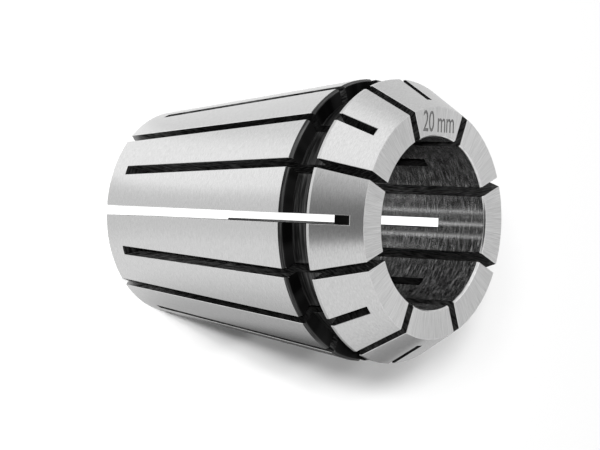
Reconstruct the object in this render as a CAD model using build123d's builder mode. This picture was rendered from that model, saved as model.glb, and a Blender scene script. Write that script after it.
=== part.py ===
from build123d import *
import os
from math import radians, sqrt, tan

# A spring collet of size 32 with an 8 degree taper, bored for a 20 mm shank.
# It is one turned and sawn piece of spring steel. It stands on its rear end,
# with its axis on +Z, its nose up and its origin at the middle of the rear end.
# Lengths are in mm and angles in degrees, each side of the axis.

# Overall
length = 40.0
largest_dia = 33.0
bore_dia = 20.0

# Nose: the nut presses on its cone, behind a flat ring round the bore's mouth.
nose_angle = 30.0
face_dia = 26.8
nose_land = 0.4  # straight ring where the nose is widest

# Groove that the nut's eccentric ring snaps into
groove_width = 3.6
groove_depth = 1.9  # below the largest ring
groove_bevel = 0.45  # length of the sloped edge between groove and taper

# Taper that seats in the tool holder
taper_angle = 8.0

# Broken edges: those of the rear end take at most a share of the wall there.
front_bore_chamfer = 0.2
rear_bore_chamfer = 0.5
rear_edge_chamfer = 0.1
rear_chamfer_share = 0.3

# Saw cuts: half of them start at the rear end and half at the front face, in
# turn round the axis. Each stops short of the other end, where the disc saw
# leaves its own curve: the cut reaches further on the outside than in the bore.
cuts_each_way = 8
saw_thickness = 1.1
saw_dia = 63.0
saw_to_axis = 5.4  # how near the saw's edge comes to the collet's axis
front_bridge = 1.4  # steel left on the outside, ahead of the rear cuts
rear_bridge = 2.4  # steel left on the outside, behind the front cuts
saw_overrun = 1.0  # how far a saw starts outside the steel

# Stations along the axis, from the front face back
nose_length = (largest_dia - face_dia) / 2 / tan(radians(nose_angle))
groove_front = length - nose_length - nose_land
groove_rear = groove_front - groove_width
taper_length = groove_rear - groove_bevel

# Radii
bore_radius = bore_dia / 2
largest_radius = largest_dia / 2
groove_radius = largest_radius - groove_depth
bevel_radius = largest_radius - groove_bevel * tan(radians(nose_angle))
rear_radius = largest_radius - taper_length * tan(radians(taper_angle))
rear_chamfer_limit = rear_chamfer_share * (rear_radius - bore_radius)

# Where each saw stops: its edge then meets the outer surface at the bridge.
saw_radius = saw_dia / 2
saw_axis = saw_to_axis + saw_radius
rear_cut_end = face_dia / 2 + front_bridge * tan(radians(nose_angle))
front_cut_end = rear_radius + rear_bridge * tan(radians(taper_angle))
rear_saw_stop = length - front_bridge - sqrt(saw_radius**2 - (saw_axis - rear_cut_end) ** 2)
front_saw_stop = rear_bridge + sqrt(saw_radius**2 - (saw_axis - front_cut_end) ** 2)

# What the saw sweeps from the rear: the disc where it stops, and its way there.
with BuildPart() as rear_cut:
    with BuildSketch(Plane.XZ):
        with Locations((saw_axis, rear_saw_stop)):
            Circle(saw_radius)
            Rectangle(saw_dia, rear_saw_stop + saw_overrun, align=(Align.CENTER, Align.MAX))
    extrude(amount=saw_thickness / 2, both=True)

# What the saw sweeps from the front
with BuildPart() as front_cut:
    with BuildSketch(Plane.XZ):
        with Locations((saw_axis, front_saw_stop)):
            Circle(saw_radius)
            Rectangle(saw_dia, length - front_saw_stop + saw_overrun, align=(Align.CENTER, Align.MIN))
    extrude(amount=saw_thickness / 2, both=True)

# The collet: its section turned round the axis, its edges broken, then sawn.
with BuildPart() as collet:
    with BuildSketch(Plane.XZ):
        with BuildLine():
            Polyline(
                (bore_radius, 0),
                (rear_radius, 0),
                (largest_radius, taper_length),
                (bevel_radius, groove_rear),
                (groove_radius, groove_rear),
                (groove_radius, groove_front),
                (largest_radius, groove_front),
                (largest_radius, groove_front + nose_land),
                (face_dia / 2, length),
                (bore_radius, length),
                close=True,
            )
        make_face()
    revolve(axis=Axis.Z)

    front_face_edges = collet.faces().sort_by(Axis.Z)[-1].edges().sort_by(SortBy.RADIUS)
    rear_face_edges = collet.faces().sort_by(Axis.Z)[0].edges().sort_by(SortBy.RADIUS)
    chamfer(front_face_edges[0], front_bore_chamfer)
    chamfer(rear_face_edges[0], min(rear_bore_chamfer, rear_chamfer_limit))
    chamfer(rear_face_edges[-1], min(rear_edge_chamfer, rear_chamfer_limit))

    with PolarLocations(0, cuts_each_way):
        add(rear_cut.part, mode=Mode.SUBTRACT)
    with PolarLocations(0, cuts_each_way, start_angle=180 / cuts_each_way):
        add(front_cut.part, mode=Mode.SUBTRACT)

collet.part.label = "collet"

os.makedirs("parts", exist_ok=True)
export_step(collet.part, "parts/collet.step")
print("collet:", round(collet.part.volume), "mm3, box", collet.part.bounding_box().size)
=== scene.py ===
# %% [markdown]
# # A spring collet, dressed for the camera
# A spring collet holds a round tool shank in a milling spindle. It is one piece of steel, turned to
# shape, sawn from both ends in turn, hardened, and then ground bright where it has to fit. The packed
# CAD model comes first, as a frame that gives the place and the size of everything that follows.

from math import asin, atan2, cos, hypot, pi, radians, sin, sqrt, tan

import bmesh
import bpy
from mathutils import Matrix, Quaternion, Vector


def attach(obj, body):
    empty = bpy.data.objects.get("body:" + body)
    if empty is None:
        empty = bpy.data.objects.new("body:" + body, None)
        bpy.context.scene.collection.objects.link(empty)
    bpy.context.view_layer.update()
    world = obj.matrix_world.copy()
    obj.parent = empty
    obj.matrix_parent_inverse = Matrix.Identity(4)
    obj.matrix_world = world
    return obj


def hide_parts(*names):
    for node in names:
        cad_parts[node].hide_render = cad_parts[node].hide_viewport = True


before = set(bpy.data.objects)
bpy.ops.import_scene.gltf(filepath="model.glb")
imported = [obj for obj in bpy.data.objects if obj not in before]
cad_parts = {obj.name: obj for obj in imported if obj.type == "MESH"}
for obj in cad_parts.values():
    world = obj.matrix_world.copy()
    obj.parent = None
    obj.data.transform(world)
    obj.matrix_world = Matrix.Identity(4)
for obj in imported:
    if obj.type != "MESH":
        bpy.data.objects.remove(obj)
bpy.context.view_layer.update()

# %% [markdown]
# ## The turned section
# A lathe makes one outline, the section, and the whole collet is that outline carried round the axis.
# Its corners follow from the few sizes that a maker would put on the drawing. They are in
# millimetres here, with angles in degrees each side of the axis. The collet stands on its rear end:
# the height is along its axis, from the rear end up to the flat face round the bore's mouth.

# %% Sizes on the drawing
MM = 0.001

length = 40.0
largest_radius = 33.0 / 2
bore_radius = 20.0 / 2
face_radius = 26.8 / 2
nose_angle = 30.0
taper_angle = 8.0
nose_land = 0.4
groove_width = 3.6
groove_radius = largest_radius - 1.9
groove_bevel = 0.45
front_bore_chamfer = 0.2
rear_bore_chamfer = 0.5
rear_edge_chamfer = 0.1

nose_slope = tan(radians(nose_angle))
taper_slope = tan(radians(taper_angle))
land_front = length - (largest_radius - face_radius) / nose_slope
groove_front = land_front - nose_land
groove_rear = groove_front - groove_width
taper_top = groove_rear - groove_bevel
rear_radius = largest_radius - taper_top * taper_slope
print("rear end:", round(rear_radius, 2), "mm radius; taper:", round(taper_top, 2), "mm long")

# %% [markdown]
# ## Where the saw stops
# Sixteen cuts let the steel spring. Half of them start at the rear end and half at the front face, in
# turn, and each stops short of the other end, so the steel stays one folded ring. A disc saw makes
# them, and its rim leaves the end of each cut as an arc: the cut reaches further on the outside than
# in the bore. Two circles say where the rims end up, one for each direction.

# %% Saw cuts
cuts = 16
pitch = 2 * pi / cuts
half_saw = 1.1 / 2
saw_radius = 63.0 / 2
saw_axis = 5.4 + saw_radius
front_bridge = 1.4
rear_bridge = 2.4

rear_cut_radius = face_radius + front_bridge * nose_slope
front_cut_radius = rear_radius + rear_bridge * taper_slope
rear_saw_stop = length - front_bridge - sqrt(saw_radius**2 - (saw_axis - rear_cut_radius) ** 2)
front_saw_stop = rear_bridge + sqrt(saw_radius**2 - (saw_axis - front_cut_radius) ** 2)
rim_in_bore = sqrt(saw_radius**2 - (saw_axis - bore_radius) ** 2)
print("rear cuts end", round(rear_saw_stop + rim_in_bore, 2), "mm up in the bore,",
      length - front_bridge, "mm up outside")

# %% [markdown]
# ## Two small helpers
# Colours are easiest to pick as the hex values that a paint program shows, but a shader works in
# linear light, so one function turns one into the other. The other helper adds a node to a tree with
# its settings and links, which keeps each material short enough to read from top to bottom.


# %% Helpers for materials
def linear(hex_colour):
    """The linear RGBA of an sRGB colour written as six hex digits."""
    channels = [int(hex_colour[i:i + 2], 16) / 255 for i in (0, 2, 4)]
    return [c / 12.92 if c <= 0.04045 else ((c + 0.055) / 1.055) ** 2.4 for c in channels] + [1.0]


def add_node(tree, kind, settings=None, inputs=None):
    """Adds a node. An input takes a plain value, or the socket that is linked to it."""
    made = tree.nodes.new(kind)
    for name, value in (settings or {}).items():
        setattr(made, name, value)
    for name, value in (inputs or {}).items():
        if isinstance(value, bpy.types.NodeSocket):
            tree.links.new(value, made.inputs[name])
        else:
            made.inputs[name].default_value = value
    return made


def new_material(name):
    """A material whose tree holds only its output, ready for the nodes of one finish."""
    material = bpy.data.materials.new(name)
    material.use_nodes = True
    material.node_tree.nodes.clear()
    output = add_node(material.node_tree, "ShaderNodeOutputMaterial")
    return material, material.node_tree, output


# %% [markdown]
# ## Marks that run round the axis, or out from it
# Every finish on a turned part is made of fine lines. A grinding wheel or a lathe tool leaves them
# round the axis, and a cup wheel that faces the end leaves them like the spokes of a wheel. An image
# texture would need a seam somewhere, and so would an angle, which jumps at half a turn. The
# direction from the axis, as a vector of length one, has no seam: noise that is fed with it, and
# with the height or the radius as the third number, can be stretched along the marks.


# %% Marks of grinding and turning
def marks(tree, round_axis, across, roughness=0.6):
    """Noise stretched into marks: round_axis is features a radian, across is features a metre.

    The third coordinate is the height, or the distance from the axis where across is negative.
    """
    place = add_node(tree, "ShaderNodeTexCoord").outputs["Object"]
    flat = add_node(tree, "ShaderNodeVectorMath", {"operation": "MULTIPLY"},
                    {0: place, 1: (1, 1, 0)}).outputs[0]
    outwards = add_node(tree, "ShaderNodeVectorMath", {"operation": "NORMALIZE"}, {0: flat}).outputs[0]
    if across > 0:
        third = add_node(tree, "ShaderNodeVectorMath", {"operation": "MULTIPLY"},
                         {0: place, 1: (0, 0, across)}).outputs[0]
    else:
        radius = add_node(tree, "ShaderNodeVectorMath", {"operation": "LENGTH"}, {0: flat})
        third = add_node(tree, "ShaderNodeCombineXYZ", inputs={
            "Z": add_node(tree, "ShaderNodeMath", {"operation": "MULTIPLY"},
                          {0: radius.outputs["Value"], 1: -across}).outputs[0]}).outputs[0]
    stretched = add_node(tree, "ShaderNodeVectorMath", {"operation": "MULTIPLY_ADD"},
                         {0: outwards, 1: (round_axis, round_axis, 0), 2: third})
    return add_node(tree, "ShaderNodeTexNoise", inputs={
        "Vector": stretched.outputs[0], "Scale": 1.0, "Detail": 2.0, "Roughness": roughness})


# %% [markdown]
# ## Ground steel on the cones
# After hardening, a wheel grinds the long taper and the nose, so these are the brightest surfaces.
# The marks run round the axis, about 0.02 mm apart on the real part. Drawn at that size they would
# vanish, so here they are 0.09 mm apart. Light spreads across such marks and not along them, which
# the anisotropic setting gives: its tangent runs round the axis, and the quarter turn of rotation
# puts the spread across the marks.


# %% Ground steel, cones
def ground_cone_steel():
    """Hardened spring steel, ground round its axis: bright, with soft reflections."""
    material, tree, output = new_material("ground_cone_steel")
    lines = marks(tree, round_axis=30, across=1 / (0.09 * MM))
    tone = add_node(tree, "ShaderNodeMapRange", inputs={
        "Value": lines.outputs["Fac"], "From Min": 0.3, "From Max": 0.7})
    colour = add_node(tree, "ShaderNodeMix", {"data_type": "RGBA"}, {
        "Factor": tone.outputs[0], "A": linear("c4c4c4"), "B": linear("d2d2d2")})
    bump = add_node(tree, "ShaderNodeBump", inputs={
        "Height": lines.outputs["Fac"], "Strength": 0.2, "Distance": 0.004 * MM})
    tangent = add_node(tree, "ShaderNodeTangent", {"direction_type": "RADIAL", "axis": "Z"})
    steel = add_node(tree, "ShaderNodeBsdfPrincipled", inputs={
        "Base Color": colour.outputs["Result"], "Metallic": 1.0, "Roughness": 0.25,
        "Anisotropic": 0.8, "Anisotropic Rotation": 0.25,
        "Tangent": tangent.outputs[0], "Normal": bump.outputs[0]})
    tree.links.new(steel.outputs[0], output.inputs["Surface"])
    return material


# %% [markdown]
# ## Ground steel on the face
# The flat ring round the bore's mouth is faced with the edge of a wheel, and its marks fan out from
# the axis. Each is a few millimetres long. Round the ring they are 0.06 mm apart, as coarse as they
# need to be to show, and they have more contrast than the marks on the cones.


# %% Ground steel, face
def ground_face_steel():
    """Hardened spring steel with grinding marks that fan out from the bore."""
    material, tree, output = new_material("ground_face_steel")
    lines = marks(tree, round_axis=190, across=-1 / (3 * MM), roughness=0.7)
    tone = add_node(tree, "ShaderNodeMapRange", inputs={
        "Value": lines.outputs["Fac"], "From Min": 0.3, "From Max": 0.7})
    colour = add_node(tree, "ShaderNodeMix", {"data_type": "RGBA"}, {
        "Factor": tone.outputs[0], "A": linear("bababa"), "B": linear("e0e0e0")})
    bump = add_node(tree, "ShaderNodeBump", inputs={
        "Height": lines.outputs["Fac"], "Strength": 0.35, "Distance": 0.006 * MM})
    tangent = add_node(tree, "ShaderNodeTangent", {"direction_type": "RADIAL", "axis": "Z"})
    steel = add_node(tree, "ShaderNodeBsdfPrincipled", inputs={
        "Base Color": colour.outputs["Result"], "Metallic": 1.0, "Roughness": 0.3,
        "Anisotropic": 0.8, "Tangent": tangent.outputs[0], "Normal": bump.outputs[0]})
    tree.links.new(steel.outputs[0], output.inputs["Surface"])
    return material


# %% [markdown]
# ## The bore
# A small wheel grinds the bore, and leaves it duller than the cones: some of the marks are scratches,
# rough enough inside to scatter light, so they are a little less of a metal to the shader. Like the
# marks on the cones they are drawn coarser than the real ones, 0.12 mm apart, so that they show. Light
# has to come in from the mouth and the cuts, so the bore looks dark from outside, and its hollow
# mirror draws out what comes in as bright lines along the axis.


# %% Ground steel, bore
def ground_bore_steel():
    """Hardened spring steel, ground inside: a duller grey with scratches round the axis."""
    material, tree, output = new_material("ground_bore_steel")
    lines = marks(tree, round_axis=8, across=1 / (0.12 * MM), roughness=0.8)
    scratch = add_node(tree, "ShaderNodeMapRange", inputs={
        "Value": lines.outputs["Fac"], "From Min": 0.4, "From Max": 0.7})
    colour = add_node(tree, "ShaderNodeMix", {"data_type": "RGBA"}, {
        "Factor": scratch.outputs[0], "A": linear("a6a6a6"), "B": linear("e2e2e2")})
    metal = add_node(tree, "ShaderNodeMapRange", inputs={
        "Value": lines.outputs["Fac"], "From Min": 0.5, "From Max": 0.7, "To Min": 1.0, "To Max": 0.76})
    bump = add_node(tree, "ShaderNodeBump", inputs={
        "Height": lines.outputs["Fac"], "Strength": 0.45, "Distance": 0.011 * MM})
    tangent = add_node(tree, "ShaderNodeTangent", {"direction_type": "RADIAL", "axis": "Z"})
    steel = add_node(tree, "ShaderNodeBsdfPrincipled", inputs={
        "Base Color": colour.outputs["Result"], "Metallic": metal.outputs[0], "Roughness": 0.17,
        "Anisotropic": 1.0, "Anisotropic Rotation": 0.25,
        "Tangent": tangent.outputs[0], "Normal": bump.outputs[0]})
    tree.links.new(steel.outputs[0], output.inputs["Surface"])
    return material


# %% [markdown]
# ## Hardening scale in the groove
# The groove isn't ground after hardening, so it keeps the black scale of the furnace over the marks
# of the lathe, one for each turn at a feed of about 0.2 mm. Scale is an oxide, but here it lies thin
# on smooth steel, so to the shader it is still partly a metal, with a dull sheen. It is thickest on
# the two walls, and at the ends of the saw cuts. The floor shows its turned lines, and the bevel
# beside the taper is worn to grey.


# %% Black scale, groove
def scaled_turned_steel(name, deep, worn, sheen, edge_on):
    """Turned steel under black scale; deep and worn are its tones, edge_on tints its sheen."""
    material, tree, output = new_material(name)
    lines = marks(tree, round_axis=3, across=1 / (0.22 * MM), roughness=0.7)
    tone = add_node(tree, "ShaderNodeMapRange", inputs={
        "Value": lines.outputs["Fac"], "From Min": 0.42, "From Max": 0.72})
    colour = add_node(tree, "ShaderNodeMix", {"data_type": "RGBA"}, {
        "Factor": tone.outputs[0], "A": linear(deep), "B": linear(worn)})
    bump = add_node(tree, "ShaderNodeBump", inputs={
        "Height": lines.outputs["Fac"], "Strength": 0.5, "Distance": 0.02 * MM})
    steel = add_node(tree, "ShaderNodeBsdfPrincipled", inputs={
        "Base Color": colour.outputs["Result"], "Metallic": 0.6, "Roughness": 0.34,
        "Specular IOR Level": sheen, "Specular Tint": linear(edge_on), "Normal": bump.outputs[0]})
    tree.links.new(steel.outputs[0], output.inputs["Surface"])
    return material


# %% [markdown]
# ## Hardening scale in the saw cuts
# The walls of the cuts are black too. The saw's teeth leave arcs on them, all round the saw's axis
# and a quarter of a millimetre apart, so the pattern is noise across the distance from that axis. The
# axis has its own height for each of the two ways of cutting. The scale is thin at the rear, where it
# shows some steel, and thicker towards the nose: in the cuts from the rear the steel soon ends, and in
# those from the front it goes on along the taper. Where the cuts run out at the rear end, the last two
# millimetres are painted grey: a painted highlight for the light that catches the walls at the open end.
#
# On torn steel the oxide is no metal to the eye, so the metallic value stays at zero. The cuts from
# the front have a dull sheen, strongest on the arcs that show some steel. Those from the rear have
# none, so they stay black even when they are seen edge on.


# %% Black scale, saw cuts
# How far up from the rear end the painted highlight on the saw-cut walls reaches, in millimetres.
painted_highlight_up_to = 2.0


def scaled_sawn_steel(name, saw_height, bare_up_to, black_from, least_bare, sheen):
    """Sawn steel under black scale, with arcs round the saw's axis; it is most bared low down."""
    material, tree, output = new_material(name)
    place = add_node(tree, "ShaderNodeTexCoord").outputs["Object"]
    flat = add_node(tree, "ShaderNodeVectorMath", {"operation": "MULTIPLY"}, {0: place, 1: (1, 1, 0)})
    radius = add_node(tree, "ShaderNodeVectorMath", {"operation": "LENGTH"}, {0: flat.outputs[0]})
    height = add_node(tree, "ShaderNodeSeparateXYZ", inputs={0: place})
    on_wall = add_node(tree, "ShaderNodeCombineXYZ", inputs={
        "X": radius.outputs["Value"], "Z": height.outputs["Z"]})
    rim = add_node(tree, "ShaderNodeVectorMath", {"operation": "DISTANCE"}, {
        0: on_wall.outputs[0], 1: (saw_axis * MM, 0, saw_height * MM)})
    across = add_node(tree, "ShaderNodeMath", {"operation": "MULTIPLY"}, {
        0: rim.outputs["Value"], 1: 1 / (0.25 * MM)})
    along = add_node(tree, "ShaderNodeMath", {"operation": "MULTIPLY"}, {
        0: height.outputs["Z"], 1: 1 / (1.6 * MM)})
    arcs = add_node(tree, "ShaderNodeCombineXYZ", inputs={"X": across.outputs[0], "Y": along.outputs[0]})
    teeth = add_node(tree, "ShaderNodeTexNoise", inputs={
        "Vector": arcs.outputs[0], "Scale": 1.0, "Detail": 3.0, "Roughness": 0.7})
    tone = add_node(tree, "ShaderNodeMapRange", inputs={
        "Value": teeth.outputs["Fac"], "From Min": 0.42, "From Max": 0.72})
    bared = add_node(tree, "ShaderNodeMapRange", inputs={
        "Value": height.outputs["Z"], "From Min": bare_up_to * MM, "From Max": black_from * MM,
        "To Min": 1.0, "To Max": least_bare})
    share = add_node(tree, "ShaderNodeMath", {"operation": "MULTIPLY"}, {
        0: tone.outputs[0], 1: bared.outputs[0]})
    colour = add_node(tree, "ShaderNodeMix", {"data_type": "RGBA"}, {
        "Factor": share.outputs[0], "A": linear("080808"), "B": linear("616161")})
    # Painted highlight: the last two millimetres at the rear end are mixed towards grey, for the light
    # that catches the walls there.
    painted_end_highlight = add_node(tree, "ShaderNodeMapRange", {"interpolation_type": "SMOOTHSTEP"}, {
        "Value": height.outputs["Z"], "From Min": painted_highlight_up_to * MM, "From Max": 0.0})
    colour = add_node(tree, "ShaderNodeMix", {"data_type": "RGBA"}, {
        "Factor": painted_end_highlight.outputs[0], "A": colour.outputs["Result"], "B": linear("868686")})
    roughness = add_node(tree, "ShaderNodeMapRange", inputs={
        "Value": teeth.outputs["Fac"], "From Min": 0.38, "From Max": 0.68, "To Min": 0.9, "To Max": 0.35})
    bump = add_node(tree, "ShaderNodeBump", inputs={
        "Height": teeth.outputs["Fac"], "Strength": 0.7, "Distance": 0.05 * MM})
    steel = add_node(tree, "ShaderNodeBsdfPrincipled", inputs={
        "Base Color": colour.outputs["Result"], "Metallic": 0.0, "Roughness": roughness.outputs[0],
        "Specular IOR Level": sheen, "Specular Tint": linear("202020"), "Normal": bump.outputs[0]})
    tree.links.new(steel.outputs[0], output.inputs["Surface"])
    return material


# %% [markdown]
# ## Broken edges and the etched size
# Where two surfaces meet, the edge is broken with a stone. The narrow strip that it leaves is
# polished, more in some places than in others, which change over about a millimetre. The size of the
# bore is etched on the face. The etch is a dull grey, mottled where the fluid ate deeper, in spots of
# a quarter of a millimetre.


# %% Edges and etching
def stoned_edge_steel():
    """Hardened steel polished by a stone along its edges."""
    material, tree, output = new_material("stoned_edge_steel")
    wear = add_node(tree, "ShaderNodeTexNoise", inputs={
        "Vector": add_node(tree, "ShaderNodeTexCoord").outputs["Object"],
        "Scale": 1 / (0.8 * MM), "Detail": 2.0})
    colour = add_node(tree, "ShaderNodeMix", {"data_type": "RGBA"}, {
        "Factor": wear.outputs["Fac"], "A": linear("b0b0b0"), "B": linear("f0f0f0")})
    steel = add_node(tree, "ShaderNodeBsdfPrincipled", inputs={
        "Base Color": colour.outputs["Result"], "Metallic": 1.0, "Roughness": 0.25})
    tree.links.new(steel.outputs[0], output.inputs["Surface"])
    return material


def etched_steel():
    """Steel eaten matt by an etching fluid."""
    material, tree, output = new_material("etched_steel")
    blotches = add_node(tree, "ShaderNodeTexNoise", inputs={
        "Vector": add_node(tree, "ShaderNodeTexCoord").outputs["Object"],
        "Scale": 1 / (0.25 * MM), "Detail": 2.0, "Roughness": 0.7})
    colour = add_node(tree, "ShaderNodeMix", {"data_type": "RGBA"}, {
        "Factor": blotches.outputs["Fac"], "A": linear("505050"), "B": linear("a0a0a0")})
    steel = add_node(tree, "ShaderNodeBsdfPrincipled", inputs={
        "Base Color": colour.outputs["Result"], "Metallic": 0.8, "Roughness": 0.6})
    tree.links.new(steel.outputs[0], output.inputs["Surface"])
    return material


# %% [markdown]
# ## The section, corner by corner
# Each corner of the section has a name, a radius, a height, and the finish of the surface that runs
# from it to the next corner. Four of the corners lie on straight stretches: they are where the saw
# cuts end, outside and in the bore, so that the mesh has points there for the cuts to meet.

# %% Section corners and their finishes
finishes = {
    "cone": ground_cone_steel(),
    "face": ground_face_steel(),
    "bore": ground_bore_steel(),
    "worn_scale": scaled_turned_steel(
        "worn_scale_steel", deep="1c1c1c", worn="525252", sheen=0.4, edge_on="ffffff"),
    "thick_scale": scaled_turned_steel(
        "thick_scale_steel", deep="0c0c0c", worn="2c2c2c", sheen=0.05, edge_on="101010"),
    "turned_scale": scaled_turned_steel(
        "turned_scale_steel", deep="121212", worn="505050", sheen=0.4, edge_on="ffffff"),
    "sawn_from_rear": scaled_sawn_steel(
        "sawn_from_rear_steel", rear_saw_stop, bare_up_to=1, black_from=13, least_bare=0.12, sheen=0.0),
    "sawn_from_front": scaled_sawn_steel(
        "sawn_from_front_steel", front_saw_stop, bare_up_to=20, black_from=32, least_bare=0.3, sheen=1.0),
    "edge": stoned_edge_steel(),
    "etched": etched_steel(),
}
slot_of = {name: index for index, name in enumerate(finishes)}

chamfer_rise = rear_edge_chamfer * cos(radians(taper_angle))
section = {
    "rear_bore": (bore_radius, rear_bore_chamfer, "cone"),
    "rear_face_inner": (bore_radius + rear_bore_chamfer, 0, "face"),
    "rear_face_outer": (rear_radius - rear_edge_chamfer, 0, "cone"),
    "taper_start": (rear_radius + chamfer_rise * taper_slope, chamfer_rise, "cone"),
    "front_cut_outside": (front_cut_radius, rear_bridge, "cone"),
    "taper_end": (largest_radius, taper_top, "worn_scale"),
    "groove_bevel": (largest_radius - groove_bevel * nose_slope, groove_rear, "thick_scale"),
    "groove_rear": (groove_radius, groove_rear, "turned_scale"),
    "groove_front": (groove_radius, groove_front, "thick_scale"),
    "land_rear": (largest_radius, groove_front, "cone"),
    "land_front": (largest_radius, land_front, "cone"),
    "rear_cut_outside": (rear_cut_radius, length - front_bridge, "cone"),
    "face_outer": (face_radius, length, "face"),
    "face_inner": (bore_radius + front_bore_chamfer, length, "edge"),
    "front_bore": (bore_radius, length - front_bore_chamfer, "bore"),
    "rear_cut_in_bore": (bore_radius, rear_saw_stop + rim_in_bore, "bore"),
    "front_cut_in_bore": (bore_radius, front_saw_stop - rim_in_bore, "bore"),
}
corners = list(section.values())
order = {name: index for index, name in enumerate(section)}
print(len(corners), "section corners,", len(finishes), "finishes")

# %% [markdown]
# ## Carrying the section round between the cuts
# A Boolean could cut a turned mesh with sixteen saw blades. It leaves slivers where a blade meets the
# facets, and they show as kinks in the reflections. Here the section is carried round from the wall
# of one cut to the wall of the next instead, in even steps, so every quad is clean. A wall is flat
# and keeps half a saw's thickness from the plane through the axis, so the angle at which it meets a
# corner of the section depends on that corner's radius.

# %% Segments between the cuts
steps = 12
shape = bmesh.new()


def point_at(turn, radius, height):
    """A point of the collet, from its angle round the axis, its radius and its height."""
    return shape.verts.new((radius * cos(turn) * MM, radius * sin(turn) * MM, height * MM))


def corner_on_column(segment, step, radius, height):
    """A corner of the section, carried part of the way from one cut's wall to the next one's."""
    wall = asin(half_saw / radius)
    return point_at(segment * pitch + wall + (pitch - 2 * wall) * step / steps, radius, height)


def add_face(vertices, finish):
    """One face of the collet, smooth, with the finish of its surface."""
    face = shape.faces.new(vertices)
    face.material_index = slot_of[finish]
    face.smooth = True


columns = [[[corner_on_column(segment, step, radius, height) for radius, height, _ in corners]
            for step in range(steps + 1)] for segment in range(cuts)]
for segment in columns:
    for left, right in zip(segment, segment[1:]):
        for index, (_, _, finish) in enumerate(corners):
            following = (index + 1) % len(corners)
            add_face([left[index], right[index], right[following], left[following]], finish)
print("segments:", len(shape.faces), "quads")

# %% [markdown]
# ## The saw's rim
# At a cut, the saw has taken most of the section away, and a bridge of it stays. The bridge ends in
# the arc of the saw's rim, and both walls of the cut end there too, so both walls get the same points
# along that arc.

# %% Points along the saw's rim
arc_steps = 14


def rim_points(column, inner, outer, stop):
    """Points on one wall, along the saw's rim from the bore to the outside, without the ends."""
    ends = []
    for index in (inner, outer):
        radius, height, _ = corners[index]
        away = hypot(radius - saw_axis, height - stop)
        ends.append((away, atan2(height - stop, saw_axis - radius), radius))
    points = []
    for k in range(1, arc_steps):
        share = k / arc_steps
        away = ends[0][0] + (ends[1][0] - ends[0][0]) * share
        angle = ends[0][1] + (ends[1][1] - ends[0][1]) * share
        reach = saw_axis - away * cos(angle)
        height = stop + away * sin(angle)
        flat = column[inner].co.lerp(column[outer].co, (reach - ends[0][2]) / (ends[1][2] - ends[0][2]))
        points.append(shape.verts.new((flat.x, flat.y, height * MM)))
    return points


# %% [markdown]
# ## Rows across a cut
# The bridge joins two segments with the same surfaces as theirs, so it is carried round in steps, as
# they are. One wide quad would mirror there like flat glass, and the bore is a hollow mirror, which
# shows the near cut as a thin bright line. The rim's arc gets rows with the same number of points, in
# straight lines from wall to wall.

# %% Rows of points and the quads between them
bridge_steps = 4


def round_row(cut, index, first, last):
    """A corner of the section, carried over the bridge from one wall of a cut to the other."""
    radius, height, _ = corners[index]
    wall = asin(half_saw / radius)
    between = [point_at(cut * pitch - wall + 2 * wall * step / bridge_steps, radius, height)
               for step in range(1, bridge_steps)]
    return [first, *between, last]


def straight_row(first, last):
    """Points in a straight line from one wall of a cut to the other."""
    between = [shape.verts.new(first.co.lerp(last.co, step / bridge_steps))
               for step in range(1, bridge_steps)]
    return [first, *between, last]


def join_rows(row, following, finish):
    """Quads between two rows of points that run across a cut."""
    for step in range(bridge_steps):
        add_face([row[step], row[step + 1], following[step + 1], following[step]], finish)


# %% [markdown]
# ## Closing each cut
# Two chains of corners run round the section, from one end of the rim's arc to the other. One chain
# is the bridge that is kept. The other is what the saw has taken away, and it frames the flat wall on
# each side of the cut. The cuts from the rear and those from the front differ only in where the chains
# begin and end, so two lists of settings serve all sixteen.

# %% Bridges, arcs and walls
def chain(first, last):
    """Indices of the section's corners from one name round to another."""
    count = (order[last] - order[first]) % len(corners)
    return [(order[first] + k) % len(corners) for k in range(count + 1)]


kinds = [
    ("rear_cut_in_bore", "rear_cut_outside", rear_saw_stop, "sawn_from_rear",
     chain("rear_cut_outside", "rear_cut_in_bore"), chain("rear_cut_in_bore", "rear_cut_outside")),
    ("front_cut_in_bore", "front_cut_outside", front_saw_stop, "sawn_from_front",
     chain("front_cut_in_bore", "front_cut_outside"), chain("front_cut_outside", "front_cut_in_bore")),
]
for cut in range(cuts):
    inner, outer, stop, sawn, kept, removed = kinds[cut % 2]
    walls = (columns[cut - 1][-1], columns[cut][0])
    rows = {index: round_row(cut, index, walls[0][index], walls[1][index]) for index in kept}
    for index, following in zip(kept, kept[1:]):
        join_rows(rows[index], rows[following], corners[index][2])
    rims = [rim_points(column, order[inner], order[outer], stop) for column in walls]
    for column, rim in zip(walls, rims):
        outline = [column[index] for index in removed]
        if removed[0] == order[inner]:
            add_face(outline + rim[::-1], sawn)
        else:
            add_face(outline + rim, sawn)
    arc = [rows[order[inner]], *[straight_row(*pair) for pair in zip(*rims)], rows[order[outer]]]
    for row, following in zip(arc, arc[1:]):
        join_rows(row, following, "thick_scale")

bmesh.ops.recalc_face_normals(shape, faces=shape.faces)
open_edges = [edge for edge in shape.edges if not edge.is_manifold]
print("closed collet:", len(shape.faces), "faces,", len(open_edges), "open edges,",
      round(shape.calc_volume() * 1e9), "mm3")

# %% [markdown]
# ## Breaking the edges
# No real edge is perfectly sharp, and the thin strip of a broken edge catches the light. Only the
# edges that stand out are broken, and not the inner corners of the groove. The strips are bright
# where the stone reaches them. They are grey or black on the bevel, in the groove and along the cuts
# in the bore.

# %% Broken edges
broken_edge = 0.045
least_turn = radians(35)
sharp = radians(12)

groove_strips = (groove_rear - 0.1, groove_front + 0.03)
groove_strips_inside = largest_radius - 0.12
bore_strips_inside = bore_radius + 0.1
bore_strips_up_to = length - 2 * front_bore_chamfer

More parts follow.
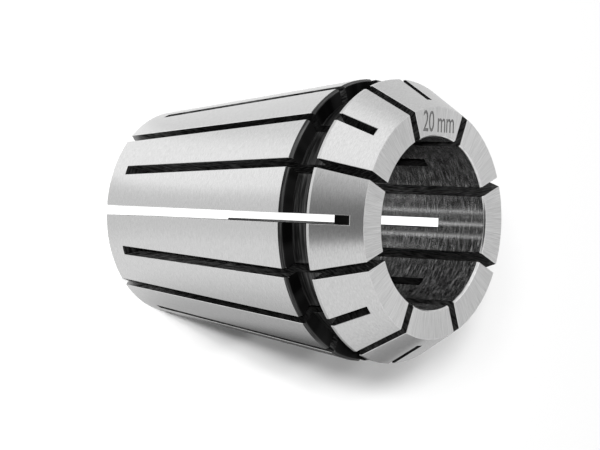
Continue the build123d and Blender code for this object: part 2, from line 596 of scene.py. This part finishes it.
outer_edges = [edge for edge in shape.edges if edge.calc_face_angle_signed(0) > least_turn]
strips = bmesh.ops.bevel(shape, geom=outer_edges, offset=broken_edge * MM, offset_type="OFFSET",
                         segments=1, profile=0.5, affect="EDGES", clamp_overlap=True,
                         material=slot_of["edge"])
for face in strips["faces"]:
    middle = face.calc_center_median() / MM
    radius = hypot(middle.x, middle.y)
    in_groove = (groove_strips[0] < middle.z < groove_strips[1]) and radius < groove_strips_inside
    on_bevel = taper_top - broken_edge < middle.z < groove_rear
    in_bore = radius < bore_strips_inside
    is_corner = len(face.verts) == 3
    if (in_groove or on_bevel) and not in_bore and not is_corner:
        on_wall = in_groove and radius > groove_radius + 2 * broken_edge
        face.material_index = slot_of["thick_scale" if on_wall else "worn_scale"]
    if in_bore and middle.z < bore_strips_up_to:
        face.material_index = slot_of["thick_scale"]
for edge in shape.edges:
    edge.smooth = edge.calc_face_angle(0) < sharp
print(len(outer_edges), "edges broken,", len(strips["faces"]), "strips")

collet_mesh = bpy.data.meshes.new("sprung_collet")
shape.to_mesh(collet_mesh)
shape.free()
for material in finishes.values():
    collet_mesh.materials.append(material)
collet = bpy.data.objects.new("sprung_collet", collet_mesh)
bpy.context.collection.objects.link(collet)

# %% [markdown]
# ## The etched size
# Such a part carries the size of its bore on the face. Here it is a plain number and its unit, cut a
# few hundredths of a millimetre deep with a Boolean, so the figures are in the mesh and not painted
# on. The letters stand with their feet to the bore.

# %% Size on the face
mark_height = 2.5
font_size_per_height = 1.37
mark_narrowing = 0.66
mark_radius = 10.5
mark_depth = 0.05
mark_stroke = 0.02  # added all round each figure's outline
weld = 0.0001

letters = bpy.data.curves.new("size_letters", "FONT")
letters.body = "20 mm"
letters.size = mark_height * font_size_per_height * MM
letters.align_x = "CENTER"
letters.space_character = 0.95
letters.extrude = mark_depth * MM
letters.offset = mark_stroke * MM
letters.resolution_u = 3
lettering = bpy.data.objects.new("size_letters", letters)
bpy.context.collection.objects.link(lettering)
bpy.context.view_layer.update()
shown = lettering.evaluated_get(bpy.context.evaluated_depsgraph_get())
cutter_mesh = bpy.data.meshes.new_from_object(shown)
cutter_mesh.materials.clear()
cutter_mesh.materials.append(finishes["etched"])
bpy.data.objects.remove(lettering)
onto_face = Matrix.Translation((-mark_radius * MM, 0, length * MM))
feet_to_bore = Matrix.Rotation(pi / 2, 4, "Z")
narrower = Matrix.Diagonal((mark_narrowing, 1, 1, 1))
cutter_mesh.transform(onto_face @ feet_to_bore @ narrower)
welded = bmesh.new()
welded.from_mesh(cutter_mesh)
bmesh.ops.remove_doubles(welded, verts=welded.verts, dist=weld * MM)
bmesh.ops.recalc_face_normals(welded, faces=welded.faces)
welded.to_mesh(cutter_mesh)
welded.free()
cutter = bpy.data.objects.new("size_cutter", cutter_mesh)
bpy.context.collection.objects.link(cutter)

etch = collet.modifiers.new("etch", "BOOLEAN")
etch.operation = "DIFFERENCE"
etch.solver = "EXACT"
etch.object = cutter
etch.material_mode = "TRANSFER"
bpy.context.view_layer.update()
shown = collet.evaluated_get(bpy.context.evaluated_depsgraph_get())
etched_mesh = bpy.data.meshes.new_from_object(shown)
collet.modifiers.remove(etch)
collet.data = etched_mesh
bpy.data.objects.remove(cutter)
etched_mesh.set_sharp_from_angle(angle=sharp)
print("after etching:", len(etched_mesh.polygons), "faces,", [m.name for m in etched_mesh.materials])

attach(collet, "root")
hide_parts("collet")

# %% [markdown]
# ## Brightness by direction
# Polished metal shows what is round it, so the studio is part of its look. Both the walls and the
# floor are given as plain patches of brightness in fixed directions from the collet. A direction is
# an azimuth, from -Y where the photographer stands towards -X, and an elevation above the floor.


# %% Patches of brightness
def towards(azimuth, elevation):
    """Unit vector of a direction given in degrees."""
    a, e = radians(azimuth), radians(elevation)
    return (-sin(a) * cos(e), -cos(a) * cos(e), sin(e))


def patch(tree, direction, below, azimuth, elevation, reach, soft, level):
    """Blends one round patch of brightness over what is below it; reach and soft are degrees."""
    facing = add_node(tree, "ShaderNodeVectorMath", {"operation": "DOT_PRODUCT"},
                      {0: direction, 1: towards(azimuth, elevation)})
    share = add_node(tree, "ShaderNodeMapRange", {"interpolation_type": "SMOOTHSTEP"}, {
        "Value": facing.outputs["Value"],
        "From Min": cos(radians(reach + soft)), "From Max": cos(radians(reach))})
    return add_node(tree, "ShaderNodeMix", {"data_type": "FLOAT"}, {
        "Factor": share.outputs[0], "A": below, "B": level}).outputs[0]


# %% [markdown]
# ## Floor
# The collet stands on a plain white floor. The camera looks down, so the floor is all the background
# there is. It is a pale diffuse surface that takes the shadow, with a little light of its own for the
# camera, which lifts it to white where the lamps reach it. One narrow strip of it is painted light,
# glowing at full white: it lies behind the middle cuts, so that they are seen through as white slits,
# though the collet's shadow is there.
#
# Polished steel mirrors the floor, but in those reflections the floor is a painted reflection: a glow
# of its own, in patches by direction, which the lamps don't change. Close to the collet, where the
# taper sees it, it has a painted highlight towards the window on the left and a painted shadow behind
# the collet on its shadow side. Further off, where only the edges of the nose see it, it is an even
# grey. The disc of floor inside the bore is painted darker, as shade.

# %% White floor
floor_size = 6.0
floor_glow = 0.055
# Painted shade: the share to which the reflected floor is dimmed inside the bore.
painted_bore_shade_level = 0.25
strip_middle = Vector((0.2, 25.0, 0.0)) * MM
strip_half = Vector((1.0, 37.5, 1.0)) * MM
near_by = 45 * MM
far_off = 75 * MM

floor_material, tree, output = new_material("white_floor")
place = add_node(tree, "ShaderNodeTexCoord").outputs["Object"]

# Painted reflection: the floor that polished steel sees glows by itself in patches by direction, with a
# painted highlight towards the window and a painted shadow behind the collet.
from_axis = add_node(tree, "ShaderNodeVectorMath", {"operation": "NORMALIZE"}, {0: place}).outputs[0]
painted_close_floor = patch(tree, from_axis, 1.07, azimuth=36, elevation=0, reach=8, soft=26, level=1.35)
painted_close_floor = patch(tree, from_axis, painted_close_floor, azimuth=0, elevation=0, reach=3, soft=20, level=0.94)
painted_close_floor = patch(tree, from_axis, painted_close_floor, azimuth=-130, elevation=0, reach=34, soft=58, level=0.57)
painted_close_floor = patch(tree, from_axis, painted_close_floor, azimuth=-140, elevation=0, reach=18, soft=30, level=0.08)
painted_distant_floor = patch(tree, from_axis, 0.86, azimuth=-125, elevation=0, reach=35, soft=35, level=0.62)
painted_distant_floor = patch(tree, from_axis, painted_distant_floor, azimuth=-127, elevation=0, reach=5, soft=9, level=0.3)
away = add_node(tree, "ShaderNodeVectorMath", {"operation": "LENGTH"}, {0: place})
apart = add_node(tree, "ShaderNodeMapRange", inputs={
    "Value": away.outputs["Value"], "From Min": near_by, "From Max": far_off})
level = add_node(tree, "ShaderNodeMix", {"data_type": "FLOAT"}, {
    "Factor": apart.outputs[0], "A": painted_close_floor, "B": painted_distant_floor})
# Painted shade in the reflections: the floor's glow fades to a quarter inside the bore's disc.
painted_bore_shade = add_node(tree, "ShaderNodeMapRange", inputs={
    "Value": away.outputs["Value"], "From Min": bore_radius * MM, "From Max": rear_radius * MM,
    "To Min": painted_bore_shade_level, "To Max": 1.0})
level = add_node(tree, "ShaderNodeMath", {"operation": "MULTIPLY"}, {
    0: level.outputs[0], 1: painted_bore_shade.outputs[0]})
painted_floor_reflection = add_node(tree, "ShaderNodeEmission", inputs={
    "Color": (1, 1, 1, 1), "Strength": level.outputs[0]})

# Painted light: a strip behind the middle cuts glows at full white, over the collet's shadow.
on_strip = add_node(tree, "ShaderNodeVectorMath", {"operation": "SUBTRACT"}, {0: place, 1: strip_middle})
on_strip = add_node(tree, "ShaderNodeVectorMath", {"operation": "DIVIDE"},
                    {0: on_strip.outputs[0], 1: strip_half})
on_strip = add_node(tree, "ShaderNodeVectorMath", {"operation": "ABSOLUTE"}, {0: on_strip.outputs[0]})
beside = add_node(tree, "ShaderNodeSeparateXYZ", inputs={0: on_strip.outputs[0]})
off_strip = add_node(tree, "ShaderNodeMath", {"operation": "MAXIMUM"},
                     {0: beside.outputs["X"], 1: beside.outputs["Y"]})
painted_slit_light = add_node(tree, "ShaderNodeMapRange", inputs={
    "Value": off_strip.outputs[0], "From Min": 1.0, "From Max": 0.98,
    "To Min": floor_glow, "To Max": 1.0})
paint = add_node(tree, "ShaderNodeBsdfDiffuse", inputs={"Color": linear("f0f0f0")})
glow = add_node(tree, "ShaderNodeEmission", inputs={"Color": (1, 1, 1, 1), "Strength": painted_slit_light.outputs[0]})
lit = add_node(tree, "ShaderNodeAddShader", inputs={0: paint.outputs[0], 1: glow.outputs[0]})
rays = add_node(tree, "ShaderNodeLightPath").outputs
both = add_node(tree, "ShaderNodeMixShader", inputs={
    0: rays["Is Glossy Ray"], 1: lit.outputs[0], 2: painted_floor_reflection.outputs[0]})
tree.links.new(both.outputs[0], output.inputs["Surface"])

floor_mesh = bpy.data.meshes.new("floor")
half = floor_size / 2
floor_corners = [(-half, -half, 0), (half, -half, 0), (half, half, 0), (-half, half, 0)]
floor_mesh.from_pydata(floor_corners, [], [(0, 1, 2, 3)])
floor_mesh.materials.append(floor_material)
floor = bpy.data.objects.new("floor", floor_mesh)
bpy.context.collection.objects.link(floor)
print("floor:", floor_size, "m wide, paint reflects", round(linear("f0f0f0")[0], 2))

# %% [markdown]
# ## Studio round the collet
# White walls give the bright cones, with a window on the left. A dark gap where the photographer
# stands gives the grey on the part of the nose that faces it, and the gap's edge on the right is
# sharp, because a white wall begins there. The camera itself hangs above that gap, and it darkens the
# chamfer at the far side of the bore's mouth. A second window, high at the back, lights the face.

# %% World
ambient = 0.03

world = bpy.data.worlds.new("studio")
bpy.context.scene.world = world
world.use_nodes = True
tree = world.node_tree
tree.nodes.clear()
output = add_node(tree, "ShaderNodeOutputWorld")
direction = add_node(tree, "ShaderNodeTexCoord").outputs["Generated"]
level = patch(tree, direction, 0.92, azimuth=66, elevation=12, reach=18, soft=24, level=1.35)
level = patch(tree, direction, level, azimuth=18, elevation=24, reach=17, soft=8, level=0.62)
level = patch(tree, direction, level, azimuth=-3, elevation=24, reach=5, soft=25, level=0.24)
level = patch(tree, direction, level, azimuth=-75, elevation=16, reach=47, soft=10, level=1.0)
level = patch(tree, direction, level, azimuth=180, elevation=36, reach=25, soft=25, level=0.79)
level = patch(tree, direction, level, azimuth=148, elevation=58, reach=8, soft=13, level=1.5)
level = patch(tree, direction, level, azimuth=3, elevation=53, reach=15, soft=12, level=0.03)
rays = add_node(tree, "ShaderNodeLightPath").outputs
seen = add_node(tree, "ShaderNodeMath", {"operation": "MAXIMUM"},
                {0: rays["Is Camera Ray"], 1: rays["Is Glossy Ray"]})
seen = add_node(tree, "ShaderNodeMath", {"operation": "MAXIMUM"},
                {0: seen.outputs[0], 1: rays["Is Transmission Ray"]})
strength = add_node(tree, "ShaderNodeMix", {"data_type": "FLOAT"}, {
    "Factor": seen.outputs[0], "A": ambient, "B": level})
background = add_node(tree, "ShaderNodeBackground", inputs={
    "Color": (1, 1, 1, 1), "Strength": strength.outputs[0]})
tree.links.new(background.outputs[0], output.inputs["Surface"])
print("world: light by itself", ambient, "of white")

# %% [markdown]
# ## Lamps
# Six round lamps stand in a column near the camera, one above the other, and their shadows overlap
# into one that is soft but darkest close to the collet. Each has its share of the light that makes
# the floor white. A floor of some reflectance, lit by a small lamp, is as bright as its share says
# when the lamp's power is share times pi squared times distance squared, divided by the reflectance
# and by the sine of the lamp's elevation. The lamps are kept out of reflections, because the studio's
# walls do that work.

# %% Lamps
aim = Vector((0.93, 0.0, 20.13)) * MM


def add_lamp(name, kind, place, target, power, settings):
    """A lamp at a place, turned to a target."""
    data = bpy.data.lights.new(name, kind)
    data.energy = power
    for setting, value in settings.items():
        setattr(data, setting, value)
    lamp = bpy.data.objects.new(name, data)
    lamp.location = place
    lamp.rotation_mode = "QUATERNION"
    lamp.rotation_quaternion = (target - place).to_track_quat("-Z", "Y")
    lamp.visible_glossy = False
    lamp.visible_camera = False
    bpy.context.collection.objects.link(lamp)
    return lamp


lamp_distance = 2.0
lamp_size = 0.13
floor_reflects = linear("f0f0f0")[0]
lamp_shares = {(8, 34): 0.1, (8, 38): 0.36, (11, 43): 0.2,
               (11, 50): 0.12, (11, 60): 0.1, (11, 79): 0.12}
for (azimuth, elevation), share in lamp_shares.items():
    power = share * pi**2 * lamp_distance**2 / (floor_reflects * sin(radians(elevation)))
    add_lamp(f"shadow_lamp_{elevation}", "AREA", Vector(towards(azimuth, elevation)) * lamp_distance,
             Vector((0, 0, 0)), power, {"shape": "DISK", "size": lamp_size})

# %% [markdown]
# ## Camera
# The camera stands 34 cm away, looks down by 39 degrees and is rolled by a little more than a quarter
# turn, so the standing collet lies on its side in the picture. The long lens keeps the perspective
# gentle.

# %% Camera
camera_distance = 340.2 * MM
camera_azimuth = 0.65
camera_elevation = 38.81
camera_roll = 92.69

camera_data = bpy.data.cameras.new("camera")
camera_data.lens = 171.06
camera_data.sensor_width = 36.0
camera_data.clip_start = 0.01
camera = bpy.data.objects.new("camera", camera_data)
bpy.context.collection.objects.link(camera)
camera.location = aim + Vector(towards(camera_azimuth, camera_elevation)) * camera_distance
camera.rotation_mode = "QUATERNION"
camera.rotation_quaternion = ((aim - camera.location).to_track_quat("-Z", "Y")
                              @ Quaternion((0, 0, 1), radians(camera_roll)))
bpy.context.scene.camera = camera

# %% [markdown]
# ## Finish
# With the Standard view a colour shows about as it is written, without the look of a film.

# %% Finish
bpy.context.scene.view_settings.view_transform = "Standard"
bpy.context.view_layer.update()
